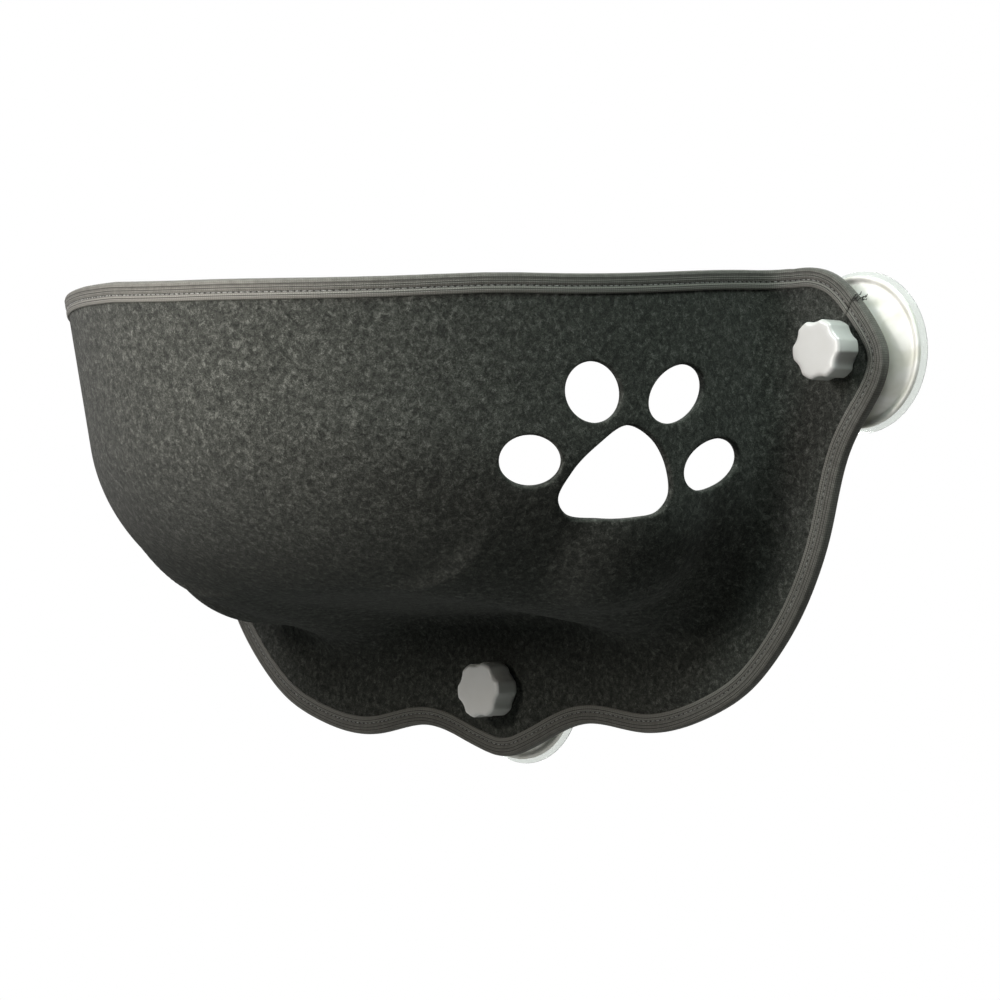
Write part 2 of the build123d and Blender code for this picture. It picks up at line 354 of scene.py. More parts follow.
class Sheet:
    """The felt's outer skin as points and faces, with the loops of its open edges."""

    def __init__(self, grid):
        self.lines, self.rows = grid.shape[:2]
        self.points = grid.reshape(-1, 3)
        index = np.arange(len(self.points)).reshape(self.lines, self.rows)
        self.index = index
        self.cells = np.ones((self.lines - 1, self.rows - 1), bool)
        self.faces = []
        self.loops = [[int(i) for i in border(index)]]

    def punch(self, origin, across, facing, rings, keep_off):
        """Cuts holes given as outlines on a plane, pushed square onto the skin."""
        up = np.cross(facing, across)
        grid = self.points[: self.index.size]
        flat = np.stack([(grid - origin) @ across, (grid - origin) @ up], axis=-1)
        far_side, turned_away = -60, 0.3
        near = (grid - origin) @ facing > far_side
        normals_face = skin_normals(grid) @ facing > turned_away
        every = np.vstack(rings)
        cells_round = 3
        margin = cells_round * keep_off
        low, high = every.min(0) - margin, every.max(0) + margin
        inside = near & normals_face & (flat > low).all(1) & (flat < high).all(1)
        lines, rows = np.nonzero(inside.reshape(self.lines, self.rows))
        l0, l1, r0, r1 = lines.min(), lines.max(), rows.min(), rows.max()
        self.cells[l0:l1, r0:r1] = False
        block = self.index[l0 : l1 + 1, r0 : r1 + 1]
        rim = border(block)
        inner = block[1:-1, 1:-1].ravel()
        gaps = norm(flat[inner][:, None] - every[None], axis=-1).min(1)
        clear = gaps > keep_off
        for ring in rings:
            clear &= ~in_outline(flat[inner], ring)
        inner = inner[clear]
        known = [*rim, *inner]
        places = [tuple(flat[i]) for i in known]
        edges = [(i, (i + 1) % len(rim)) for i in range(len(rim))]
        first_new = len(self.points)
        ring_ids = []
        for ring in rings:
            start, count = len(places), len(ring)
            places += [tuple(place) for place in ring]
            edges += [(start + i, start + (i + 1) % count) for i in range(count)]
            first = first_new + start - len(known)
            ring_ids.append(list(range(first, first + count)))
        lifted = origin + every[:, :1] * across + every[:, 1:] * up
        reach = 80.0
        hits = skin_hits(lifted - facing * reach / 2, np.broadcast_to(facing, lifted.shape), reach)
        self.points = np.vstack([self.points, hits])
        ids = known + list(range(first_new, first_new + len(every)))
        triangles = delaunay_2d_cdt([Vector(p) for p in places], edges, [], 0, 1e-6, False)[2]
        corners = np.array([list(t) for t in triangles])
        middles = np.array(places)[corners].mean(1)
        wanted = in_outline(middles, np.array(places)[: len(rim)])
        for ring in rings:
            wanted &= ~in_outline(middles, ring)
        self.faces += np.array(ids)[corners[wanted]].tolist()
        self.loops += ring_ids

    def all_faces(self):
        """Faces of the skin, as lists of point numbers."""
        i = self.index
        quads = np.stack([i[:-1, :-1], i[1:, :-1], i[1:, 1:], i[:-1, 1:]], axis=-1)
        return self.faces + quads[self.cells].tolist()


def in_outline(places, ring):
    """Which places lie inside a closed outline."""
    level = 1e-9
    x, y = places[:, :1], places[:, 1:]
    x0, y0 = ring[:, 0], ring[:, 1]
    x1, y1 = np.roll(x0, -1), np.roll(y0, -1)
    rise = np.where(y1 == y0, level, y1 - y0)
    crosses = ((y0 > y) != (y1 > y)) & (x < (x1 - x0) * (y - y0) / rise + x0)
    return crosses.sum(1) % 2 == 1


sheet = Sheet(lattice)
outward = np.array([math.cos(paw_facing), math.sin(paw_facing), 0.0])
sideways = np.array([-math.sin(paw_facing), math.cos(paw_facing), 0.0])
rings = [ellipse(*toe, hole_spacing) for toe in toes] + [closed_line(list(pad), hole_spacing)]
rings = [grown(ring, cut_rounding) for ring in rings]
sheet.punch(paw_centre, sideways, outward, rings, hole_spacing)
for place in ("left", "right", "bottom"):
    low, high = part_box(f"{place}_eyelet")
    centre = (low + high) / 2 / MM
    ring = ellipse(0, 0, eyelet_hole, eyelet_hole, 0, hole_spacing / 2)
    face = np.array([centre.x, flange_front, centre.z])
    sheet.punch(face, np.array([1.0, 0, 0]), np.array([0, -1.0, 0]), [ring], hole_spacing / 2)


def thick_sheet(sheet, thickness, rounding, steps):
    """Points and faces of the closed felt: outer skin, inner skin and the cut edges."""
    outer = sheet.points
    normals = skin_normals(outer)
    points = [outer, outer - normals * thickness]
    count = len(outer)
    total = 2 * count
    skin = sheet.all_faces()
    faces = skin + [[i + count for i in reversed(face)] for face in skin]
    for number, loop in enumerate(sheet.loops):
        ring, up = outer[loop], normals[loop]
        along = np.roll(ring, -1, axis=0) - np.roll(ring, 1, axis=0)
        inward = unit(np.cross(up, along))
        radius = rounding if 0 < number <= len(toes) + 1 else 0
        turns = np.linspace(0, math.pi / 2, steps + 1)[1:] if radius else []
        levels = [(radius * (1 - math.cos(turn)), radius * math.sin(turn)) for turn in turns]
        levels += [(thickness - a, b) for a, b in reversed(levels)]
        rows = [list(loop)]
        for depth, reach in levels:
            points.append(ring - up * depth + inward * reach)
            rows.append(list(range(total, total + len(loop))))
            total += len(loop)
        rows.append([i + count for i in loop])
        faces += [[a, d, c, b] for a, b, c, d in bands(rows)]
    return np.vstack(points), faces


merge_distance = 0.00001


def new_object(name, data):
    """Object in the scene for a mesh, a lamp or a camera."""
    made = bpy.data.objects.new(name, data)
    bpy.context.scene.collection.objects.link(made)
    return made


def new_piece(name, points, faces, material, uvs=None):
    """Object with a smooth mesh from points in millimetres, and UVs in metres where given."""
    mesh = bpy.data.meshes.new(name)
    mesh.from_pydata((np.asarray(points) * MM).tolist(), [], faces)
    mesh.materials.append(material)
    if uvs is not None:
        layer = mesh.uv_layers.new(name="tape")
        layer.data.foreach_set("uv", (np.asarray(uvs) * MM).ravel())
    piece = new_object(name, mesh)
    shape = bmesh.new()
    shape.from_mesh(mesh)
    bmesh.ops.remove_doubles(shape, verts=shape.verts, dist=merge_distance)
    bmesh.ops.recalc_face_normals(shape, faces=shape.faces)
    shape.to_mesh(mesh)
    shape.free()
    mesh.polygons.foreach_set("use_smooth", [True] * len(mesh.polygons))
    return piece


def linear(code):
    """Linear red, green, blue and alpha of an sRGB hex colour."""
    values = [int(code[i : i + 2], 16) / 255 for i in (0, 2, 4)]
    return (*(v / 12.92 if v < 0.04045 else ((v + 0.055) / 1.055) ** 2.4 for v in values), 1.0)


def add(tree, kind, inputs=None, **settings):
    """Adds a node: an input that is a socket is linked, and any other value is set."""
    node = tree.nodes.new(kind)
    for name, value in settings.items():
        setattr(node, name, value)
    for name, value in (inputs or {}).items():
        if isinstance(value, bpy.types.NodeSocket):
            tree.links.new(value, node.inputs[name])
        else:
            node.inputs[name].default_value = value
    return node


def new_material(name):
    """Empty node material and its tree."""
    material = bpy.data.materials.new(name)
    material.use_nodes = True
    material.node_tree.nodes.clear()
    return material, material.node_tree


def spot_on(tree):
    """Place on the object, in metres."""
    return add(tree, "ShaderNodeTexCoord").outputs["Object"]


def calc(tree, operation, *values):
    """Result of a math node."""
    return add(tree, "ShaderNodeMath", dict(enumerate(values)), operation=operation).outputs[0]


def remap(tree, value, low, high, to_low=0.0, to_high=1.0):
    """A value moved from one range to another, and kept inside it."""
    ranges = {"From Min": low, "From Max": high, "To Min": to_low, "To Max": to_high}
    return add(tree, "ShaderNodeMapRange", {"Value": value, **ranges}).outputs[0]


def mixed(tree, share, one, other):
    """Colour between two others."""
    inputs = {"Fac": share, "Color1": one, "Color2": other}
    return add(tree, "ShaderNodeMixRGB", inputs).outputs[0]


def cloud(tree, place, scale, detail, roughness=0.5, distortion=0.0):
    """Grey noise of a size given by its scale."""
    inputs = {"Vector": place, "Scale": scale, "Detail": detail}
    inputs.update({"Roughness": roughness, "Distortion": distortion})
    return add(tree, "ShaderNodeTexNoise", inputs).outputs["Fac"]


def bump(tree, height, strength, distance):
    """Normal of a surface roughened by a height in metres."""
    inputs = {"Height": height, "Strength": strength, "Distance": distance}
    return add(tree, "ShaderNodeBump", inputs).outputs["Normal"]


def surface(tree, inputs):
    """Makes the material's surface from the given values and sockets."""
    shader = add(tree, "ShaderNodeBsdfPrincipled", inputs)
    add(tree, "ShaderNodeOutputMaterial", {"Surface": shader.outputs[0]})


def needle_felt():
    """Needle felt of dark recycled polyester: dark and pale fibres in soft clumps, dull."""
    material, tree = new_material("charcoal_needle_felt")
    place = spot_on(tree)
    clump, fibre, speck = 0.0034, 0.0011, 0.0017
    inputs = {"Vector": place, "Scale": 1 / clump, "Detail": 2.0}
    wander = add(tree, "ShaderNodeTexNoise", inputs).outputs["Color"]
    drift = mixed(tree, 0.0016, place, wander)
    clumps = cloud(tree, place, 1 / clump, 3.0, 0.62, 0.6)
    fibres = cloud(tree, drift, 1 / fibre, 2.0, 0.7, 1.8)
    inputs = {"Vector": drift, "Scale": 1 / speck, "Randomness": 1.0}
    specks = add(tree, "ShaderNodeTexVoronoi", inputs)
    both = calc(tree, "ADD", *(calc(tree, "MULTIPLY", part, 0.5) for part in (clumps, fibres)))
    ramp = add(tree, "ShaderNodeValToRGB", {"Fac": both})
    tones = ((0.36, "20221f"), (0.47, "393b37"), (0.55, "4e504b"), (0.66, "7c7e78"))
    band = ramp.color_ramp.elements
    while len(band) < len(tones):
        band.new(0.5)
    for stop, (spot, code) in zip(band, tones):
        stop.position = spot
        stop.color = linear(code)
    pale = remap(tree, specks.outputs["Distance"], 0.0, 0.35, 0.22, 0.0)
    inputs = {
    "Base Color": mixed(tree, pale, ramp.outputs["Color"], linear("8a8c86")),
    "Roughness": 0.96,
    "Specular IOR Level": 0.08,
    "Sheen Weight": 0.08,
    "Sheen Roughness": 0.6,
    "Normal": bump(tree, both, 0.9, 0.0009),
    }
    surface(tree, inputs)
    return material


felt_mesh = thick_sheet(sheet, felt_thickness, cut_rounding, rounding_steps)
felt = new_piece("felt_bowl", *felt_mesh, needle_felt())
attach(felt, "perch")
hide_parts("felt_shell")

# Edge tapes.
# The real edging is a woven polyester tape folded over the felt's outer edge. One length covers the
# bowl's rim and the tops of both ears, the other runs round the flange, and they meet in mitres.
# The paw holes have no tape.
tape_front = (
    (10.0, 0.05), (9.95, 0.55), (9.6, 0.95), (8.4, 1.2), (6.9, 1.05), (6.3, 0.65), (5.9, 0.45),
    (5.5, 0.65), (4.9, 1.0), (4.1, 1.15), (3.1, 1.1), (2.6, 0.95), (2.1, 1.08), (1.0, 1.05),
    (0.1, 0.8), (-0.5, 0.3), (-0.85, -0.5), (-1.0, -1.5),
)
tape_inside = ((0.0, 0.03), (3.3, 0.03), (6.6, 0.03))
stitch_line = 5.9
mitre_foot = np.array([262.0, 193.0])
mitre_lean = np.array([0.5, math.sqrt(0.75)])
mitre_fade = 26.0
mitre_lap = 3.0
tape_step = 1.9
rim_tape_lift = 0.42
lap_fade = 7.0
pucker_height = 0.035
pucker_waves = 4
pucker_lengths = (6, 17)


def taped_edge():
    """The felt's whole edge: the rim from the left ear to the right one, then round the flange."""
    ear_gap, least_span = 2, 0.4
    rim = lattice[:, 0]
    rim = rim[np.abs(rim[:, 0]) < outline[0, 0] - ear_gap]
    round_flange = np.insert(outline, 1, flange_front, axis=1)
    points = np.vstack([rim[::-1], round_flange])
    spans = norm(np.diff(points, axis=0), axis=1)
    return smooth_line(points[np.concatenate([[True], spans > least_span])], edge_spacing)


class Edge:
    """Places beside the felt's edge, by length along it, depth into the sheet and height."""

    def __init__(self, points):
        self.points = points
        self.at = run_lengths(points)
        self.length = self.at[-1] + norm(points[0] - points[-1])
        self.normals = skin_normals(points)
        ahead = np.roll(points, -2, axis=0) - np.roll(points, 2, axis=0)
        self.inward = unit(np.cross(ahead, self.normals))

    def value(self, table, along):
        """Rows of a table, read between the edge's points."""
        along = np.mod(along, self.length)
        return between(along, np.append(self.at, self.length), np.vstack([table, table[:1]]))

    def place(self, along, depth, height):
        """Point at a depth into the sheet, and at a height over its outer skin."""
        start, up, inward = (self.value(t, along) for t in (self.points, self.normals, self.inward))
        spot = start + unit(inward) * depth[..., None]
        on_sheet = depth > 0
        settlings = 3
        for _ in range(settlings):
            lean = skin_normals(spot)
            settled = spot - lean * mould(spot)[..., None]
            spot = np.where(on_sheet[..., None], settled, spot)
        lean = np.where(on_sheet[..., None], skin_normals(spot), unit(up))
        return spot + lean * height[..., None]


edge = Edge(taped_edge())


def mitre_spot(side):
    """Where the mitre meets the edge on one ear, and its lean along the edge per mm of depth."""
    x, z = side * edge.points[:, 0], edge.points[:, 2]
    off = (x - mitre_foot[0]) * mitre_lean[1] - (z - mitre_foot[1]) * mitre_lean[0]
    near = (x > mitre_foot[0]) & (z > mitre_foot[1])
    index = int(np.argmin(np.where(near, np.abs(off), np.inf)))
    lean = np.array([-side * mitre_lean[0], 0, -mitre_lean[1]])
    ahead = edge.points[index + 2] - edge.points[index - 2]
    ahead /= norm(ahead)
    return edge.at[index], (lean @ ahead) / (lean @ edge.inward[index])


right_mitre, right_lean = mitre_spot(1)
left_mitre, left_lean = mitre_spot(-1)


def tape_section():
    """Section of the folded tape as depth and height, each point's place across, and the width."""

    def on_back(points):
        return [(depth, -felt_thickness - height) for depth, height in reversed(points)]

    outside = list(tape_front) + on_back(tape_front)
    section = np.array(outside + on_back(tape_inside) + list(tape_inside))
    across = run_lengths(section)
    return section, across, across[len(outside) - 1]


def tape_mesh(begin, end, begin_lean, end_lean, lap, spacing, seed):
    """Points, faces and UVs of a tape folded over the edge, its ends cut along the mitres."""
    section, across, _ = tape_section()
    count = round((end - begin) / spacing)
    along = np.linspace(begin, end, count + 1)
    depth = np.broadcast_to(section[:, 0], (len(along), len(section)))
    height = np.broadcast_to(section[:, 1], depth.shape).copy()
    from_begin = np.clip(1 - (along - begin) / mitre_fade, 0, 1)[:, None]
    from_end = np.clip(1 - (end - along) / mitre_fade, 0, 1)[:, None]
    shift = depth.clip(0) * (begin_lean * from_begin + end_lean * from_end)
    noise = np.random.default_rng(seed)
    pucker = sum(
        np.sin(along * math.tau / noise.uniform(*pucker_lengths) + noise.uniform(0, math.tau))
        for _ in range(pucker_waves)
    )[:, None]
    outside = np.arange(len(section)) < 2 * len(tape_front)
    swell = pucker_height * pucker * ((section[:, 0] > 0) & outside)
    near_end = np.clip(1 - np.minimum(along - begin, end - along) / lap_fade, 0, 1)[:, None]
    swell = swell + lap * near_end ** 0.5 * outside
    height += np.where(section[:, 1] > -felt_thickness / 2, swell, -swell)
    places = edge.place(along[:, None] + shift, depth, height)
    rows, columns = depth.shape
    index = np.arange(rows * columns).reshape(rows, columns).tolist()
    faces, uvs = [[a, d, c, b] for a, b, c, d in bands(index)], []
    spots = np.append(across, across[-1] + norm(section[0] - section[-1]))
    for u0, u1 in zip(along, along[1:]):
        for v0, v1 in zip(spots, spots[1:]):
            uvs += [(u0, v0), (u1, v0), (u1, v1), (u0, v1)]
    for row, turn in ((0, 1), (rows - 1, -1)):
        ends = index[row][::turn]
        faces.append(ends)
        uvs += [(along[row], spots[i % columns]) for i in ends]
    return places.reshape(-1, 3), faces, uvs


def woven_tape(tape_across):
    """Woven polyester edge tape: dull, with fine ribs, warp lines, a paler inner lip, and painted
    shade in the stitch groove and the weave's hollows.
    """
    material, tree = new_material("woven_grey_tape")
    rib, warp, mottle = 0.0013, 0.0011, 0.004
    lip_inner = 0.0050
    warp_lines = (0.0030, 0.0076, 0.0094)
    place = add(tree, "ShaderNodeUVMap", uv_map="tape").outputs["UV"]
    parts = add(tree, "ShaderNodeSeparateXYZ", {"Vector": place}).outputs
    half = calc(tree, "PINGPONG", parts["Y"], tape_across * MM / 2)
    waves = []
    for value, period in ((parts["X"], rib), (half, warp)):
        swing = calc(tree, "SINE", calc(tree, "MULTIPLY", value, math.tau / period))
        waves.append(remap(tree, swing, -1.0, 1.0))
    weave = calc(tree, "MULTIPLY", *waves)
    tone = remap(tree, cloud(tree, place, 1 / mottle, 3.0, 0.6), 0.3, 0.7)
    drawn_out = add(tree, "ShaderNodeMapping", {"Vector": place, "Scale": (0.12, 1.6, 1.0)})
    streak = cloud(tree, drawn_out.outputs[0], 700.0, 2.0)
    colour = mixed(tree, tone, linear("74736d"), linear("8f8e87"))
    lip = remap(tree, half, lip_inner, lip_inner - 0.0006)
    colour = mixed(tree, lip, colour, linear("97968f"))
    # Painted shade: the stitch groove is darkened in the colour. The thin warp lines beside it are
    # the tape's own pattern.
    groove = calc(tree, "COMPARE", half, lip_inner, 0.00055)
    for spot in warp_lines:
        groove = calc(tree, "MAXIMUM", groove, calc(tree, "COMPARE", half, spot, 0.00022))
    colour = mixed(tree, groove, colour, linear("2b2b29"))
    # Painted shade: the low parts of the weave are darkened in the colour. The long streaks are the
    # yarn's own tone.
    weave_hollow_shade = remap(tree, weave, 0.0, 1.0, 0.55, 0.0)
    dark = calc(tree, "MAXIMUM", weave_hollow_shade, remap(tree, streak, 0.35, 0.65, 0.35, 0.0))
    inputs = {
    "Base Color": mixed(tree, dark, colour, linear("42413c")),
    "Roughness": 0.78,
    "Specular IOR Level": 0.35,
    "Sheen Weight": 0.05,
    "Sheen Roughness": 0.5,
    "Normal": bump(tree, calc(tree, "ADD", weave, streak), 0.7, 0.0003),
    }
    surface(tree, inputs)
    return material


rim_run = (left_mitre - edge.length, right_mitre)
flange_run = (right_mitre, left_mitre)
tape_paint = woven_tape(tape_section()[2])
for name, node, (begin, end), leans, lap, tuck in (
    ("rim_tape", "rim_binding", rim_run, (left_lean, right_lean), rim_tape_lift, 0.0),
    ("flange_tape", "flange_binding", flange_run, (right_lean, left_lean), 0.0, mitre_lap),
):
    points, faces, uvs = tape_mesh(begin - tuck, end + tuck, *leans, lap, tape_step, len(name))
    tape = new_piece(name, points, faces, tape_paint, uvs)
    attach(tape, "perch")
    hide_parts(node)

# Stitches.
# One line of lockstitch holds each tape: grey spun polyester thread, 3 mm on the surface and then
# down through the felt, so the same row of short stitches shows in the groove on both faces.
stitch_pitch = 3.6
stitch_length = 3.1
thread_diameter = 0.62
stitch_groove = 0.42
stitch_seed = 4
stitch_skew = 0.12


def sewing_thread():
    """Spun polyester thread: soft satin with a twist, and pale patches painted into its colour
    stand for each stitch's glint.
    """
    material, tree = new_material("grey_spun_thread")
    place = spot_on(tree)
    painted_glint_and_twist = cloud(tree, place, 900.0, 1.0)
    # Painted highlight: the pale tone stands for the thread's glints. The same noise also gives the
    # twist's bumps.
    colour = mixed(tree, remap(tree, painted_glint_and_twist, 0.35, 0.65), linear("6e6f6b"), linear("a3a49f"))
    normal = bump(tree, painted_glint_and_twist, 0.6, 0.0002)
    surface(tree, {"Base Color": colour, "Roughness": 0.45, "Normal": normal})
    return material


def stitch_tree():
    """Sets one short bowed thread at every pitch along a line, lying on the surface under it."""
    tree = bpy.data.node_groups.new("stitch_row", "GeometryNodeTree")
    sockets = (
        ("Line", "Geometry", None),
        ("Pitch", "Float", stitch_pitch * MM),
        ("Length", "Float", stitch_length * MM),
        ("Thickness", "Float", thread_diameter * MM),
        ("Seed", "Int", stitch_seed),
        ("Thread", "Material", None),
    )
    for name, kind, value in sockets:
        kind = f"NodeSocket{kind}"
        socket = tree.interface.new_socket(name, in_out="INPUT", socket_type=kind)
        if value is not None:
            socket.default_value = value
    tree.interface.new_socket("Stitches", in_out="OUTPUT", socket_type="NodeSocketGeometry")

    def made(kind, inputs, **settings):
        return add(tree, kind, inputs, **settings).outputs[0]

    given = add(tree, "NodeGroupInput").outputs
    up = made("GeometryNodeInputNamedAttribute", {"Name": "up"}, data_type="FLOAT_VECTOR")
    line = made("GeometryNodeMeshToCurve", {"Mesh": given["Line"]})
    inputs = {"Curve": line, "Length": given["Pitch"]}
    spots = add(tree, "GeometryNodeCurveToPoints", inputs, mode="LENGTH").outputs
    half, back = (calc(tree, "MULTIPLY", given["Length"], share) for share in (0.5, -0.5))
    radius, dip = (calc(tree, "MULTIPLY", given["Thickness"], share) for share in (0.5, -0.5))
    start, middle, end = (
        made("ShaderNodeCombineXYZ", parts)
        for parts in ({"X": back, "Z": dip}, {"Z": given["Thickness"]}, {"X": half, "Z": dip})
    )
    inputs = {"Resolution": 5, "Start": start, "Middle": middle, "End": end}
    bow = made("GeometryNodeCurveQuadraticBezier", inputs)
    ring = made("GeometryNodeCurvePrimitiveCircle", {"Resolution": 6, "Radius": radius})
    inputs = {"Curve": bow, "Profile Curve": ring, "Fill Caps": True}
    thread = made("GeometryNodeCurveToMesh", inputs)
    inputs = {"Min": -stitch_skew, "Max": stitch_skew, "Seed": given["Seed"]}
    spin = add(tree, "FunctionNodeRandomValue", inputs, data_type="FLOAT").outputs[1]
    twist = made("ShaderNodeCombineXYZ", {"Z": spin})
    align = "FunctionNodeAlignRotationToVector"
    along = made(align, {"Vector": spots["Tangent"]}, axis="X")
    upright = made(align, {"Rotation": along, "Vector": up}, axis="Z", pivot_axis="X")
    inputs = {"Rotation": upright, "Rotate By": twist}
    turned = made("FunctionNodeRotateRotation", inputs, rotation_space="LOCAL")
    inputs = {"Points": spots["Points"], "Instance": thread, "Rotation": turned}
    placed = made("GeometryNodeInstanceOnPoints", inputs)
    real = made("GeometryNodeRealizeInstances", {"Geometry": placed})
    painted = made("GeometryNodeSetMaterial", {"Geometry": real, "Material": given["Thread"]})
    smooth = made("GeometryNodeSetShadeSmooth", {"Geometry": painted})
    add(tree, "NodeGroupOutput", {"Stitches": smooth})
    return tree


def line_object(name, points, ups):
    """Polyline in metres that carries the surface's normal at each point."""
    mesh = bpy.data.meshes.new(name)
    edges = [(i, i + 1) for i in range(len(points) - 1)]
    mesh.from_pydata((points * MM).tolist(), edges, [])
    mesh.attributes.new("up", "FLOAT_VECTOR", "POINT").data.foreach_set("vector", ups.ravel())
    return new_object(name, mesh)


def baked(line, tree, values, name):
    """Plain mesh of what a node tree makes from a line; the modifier goes with the line."""
    modifier = line.modifiers.new("nodes", "NODES")
    modifier.node_group = tree
    for socket in tree.interface.items_tree:
        if socket.in_out == "INPUT" and socket.name in values:
            modifier[socket.identifier] = values[socket.name]
    line.update_tag()
    graph = bpy.context.evaluated_depsgraph_get()
    mesh = bpy.data.meshes.new_from_object(line.evaluated_get(graph))
    mesh.materials.clear()
    mesh.materials.append(values["Thread"])
    mesh.polygons.foreach_set("material_index", np.zeros(len(mesh.polygons), dtype=np.int32))
    bpy.data.objects.remove(line)
    return new_object(name, mesh)


def stitch_line_places(begin, end, front):
    """Points of the stitch row in the tape's groove on one face, and the normals there."""
    end_gap, step = 2.5, 1.2
    along = np.arange(begin + end_gap, end - end_gap, step)
    depth = np.full(len(along), stitch_line)
    near, away = (stitch_groove, 1) if front else (-felt_thickness - stitch_groove, -1)
    points = edge.place(along, depth, np.full(len(along), near))
    ups = edge.place(along, depth, np.full(len(along), near + away)) - points
    return points, ups


thread = sewing_thread()
row_tree = stitch_tree()
for name, (begin, end) in (("rim", rim_run), ("flange", flange_run)):
    for face in ("front", "back"):
        points, ups = stitch_line_places(begin, end, face == "front")
        line = line_object("line", points, ups)
        stitches = baked(line, row_tree, {"Thread": thread}, f"{name}_stitches_{face}")
        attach(stitches, "perch")

# Frayed ends.
# The rim tape is cut raw where it meets the flange tape, and a few of its warp yarns have worked
# loose there: dark, 0.7 mm thick and thinner at the tip, and standing past the edge by 2 to 4.6 mm.
yarn_thickness = 0.7
yarn_tip = 0.55
yarn_sides = 6
yarn_steps = 9
yarns_per_ear = 9
yarn_begins = (0.2, 2.5)
yarn_reaches = (-4.6, -2.0)
yarn_spread = 1.4
yarn_wander = 0.45
yarn_curl = 0.3
yarn_lift = 0.8


def loose_yarn(line, thickness):
    """Points and faces of one thin yarn along a line, closed at both ends."""
    sides = yarn_sides
    run = unit(np.gradient(line, axis=0))
    across = unit(np.cross(run, (0.3, 1.0, 0.2)))
    other = np.cross(run, across)
    turn = np.arange(sides) * math.tau / sides
    ring = across[:, None] * np.cos(turn)[:, None] + other[:, None] * np.sin(turn)[:, None]
    taper = np.linspace(1.0, yarn_tip, len(line))[:, None, None]
    points = line[:, None] + ring * taper * thickness / 2
    rows = np.arange(len(line) * sides).reshape(-1, sides).tolist()
    return points.reshape(-1, 3), [rows[0][::-1], rows[-1]] + bands(rows)


def frayed_yarn():
    """Loose warp yarn of the tape, in dark greys well below the tape's own colour."""
    material, tree = new_material("frayed_tape_yarn")
    place = spot_on(tree)
    colour = mixed(tree, cloud(tree, place, 1200.0, 1.0), linear("20211f"), linear("4a4b47"))
    surface(tree, {"Base Color": colour, "Roughness": 0.7, "Specular IOR Level": 0.3})
    return material


yarn_paint = frayed_yarn()
for name, seam, lean, seed in (
    ("right", right_mitre, right_lean, 11),
    ("left", left_mitre, left_lean, 23),
):
    noise = np.random.default_rng(seed)
    points, faces = np.zeros((0, 3)), []
    for _ in range(yarns_per_ear):
        begin, reach = noise.uniform(*yarn_begins), noise.uniform(*yarn_reaches)
        depth = np.linspace(begin, reach, yarn_steps)
        along = seam + lean * depth.clip(0) + noise.uniform(-yarn_spread, yarn_spread)
        along = along + np.cumsum(noise.normal(0, yarn_wander, yarn_steps))
        start = noise.choice([yarn_lift, -felt_thickness - yarn_lift])
        rise = start + np.cumsum(noise.normal(0, yarn_curl, yarn_steps)) * (depth < 0)
        yarn = loose_yarn(edge.place(along, depth, rise), yarn_thickness)
        faces += [[len(points) + i for i in face] for face in yarn[1]]
        points = np.concatenate([points, yarn[0]])
    yarns = new_piece(f"{name}_frayed_yarns", points, faces, yarn_paint)
    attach(yarns, "perch")

# Suction mounts.
# Under each ear and under the bowl sit a soft clear vinyl disc with a moulded-in zinc stud and a
# pearl white domed cover that the felt bears on. A scalloped knob with a nut pressed into its back
# screws down on the stud over a zinc washer and a rolled nickel-plated eyelet in the felt.
# Each section is a closed line of radius and distance from the glass, turned about the stud's axis.
sucker_section = (
    (0.0, 1.6), (33.0, 1.6), (35.5, 1.2), (37.6, 0.4), (39.0, 0.04), (39.6, 0.0), (44.3, 0.0),
    (44.85, 0.2), (45.0, 0.6), (44.85, 1.0), (44.4, 1.35), (43.6, 2.1), (43.1, 2.7), (42.6, 3.0),
    (13.4, 3.0), (13.0, 3.4), (13.0, 7.1), (12.6, 7.5), (4.05, 7.5), (4.05, 6.05), (10.55, 6.05),
    (10.55, 3.95), (0.0, 3.95),
)
cover_section = (
    (42.3, 3.0), (42.3, 4.4), (42.0, 5.0), (41.4, 5.2), (40.6, 5.2), (39.8, 5.0), (39.1, 4.75),
    (38.4, 4.65), (37.7, 4.75), (36.6, 5.2), (34.5, 6.3), (31.0, 7.9), (26.5, 9.7), (21.0, 11.7),
    (17.0, 13.0), (14.4, 13.8), (13.4, 14.15), (12.4, 14.37), (11.4, 14.4), (4.7, 14.4),
    (4.35, 14.1), (4.35, 7.55), (9.0, 7.55), (9.0, 11.6), (9.4, 12.1), (11.0, 12.2), (16.0, 11.1),
    (22.0, 9.1), (28.0, 6.6), (34.0, 3.9), (36.0, 3.0),
)
knob_section = (
    (0.0, 39.1), (4.3, 39.1), (4.3, 29.65), (7.7, 29.65), (7.7, 22.3), (7.9, 22.1), (12.5, 22.1),
    (13.0, 22.6), (13.0, 24.3), (13.3, 24.65), (14.6, 24.7), (15.8, 24.78), (16.5, 25.15),
    (16.8, 25.9), (16.8, 28.5), (16.8, 31.5), (16.8, 34.5), (16.8, 37.5), (16.8, 39.9),
    (16.7, 40.6), (16.35, 41.25), (15.8, 41.7), (15.1, 41.98), (14.2, 42.1), (11.5, 42.1),
    (6.0, 42.1), (0.0, 42.1),
)
knob_radius = 16.8
knob_lobes = 6
knob_rest_turn = math.radians(4.0)
scallop_radius = 12.0
scallop_depth = 1.7
scallop_blend = 0.9
scallop_from = 6.0
scallop_over = 8.2
lobed_from = 24.66
crisp_angle = 50
round_steps = 144
knob_steps = 240


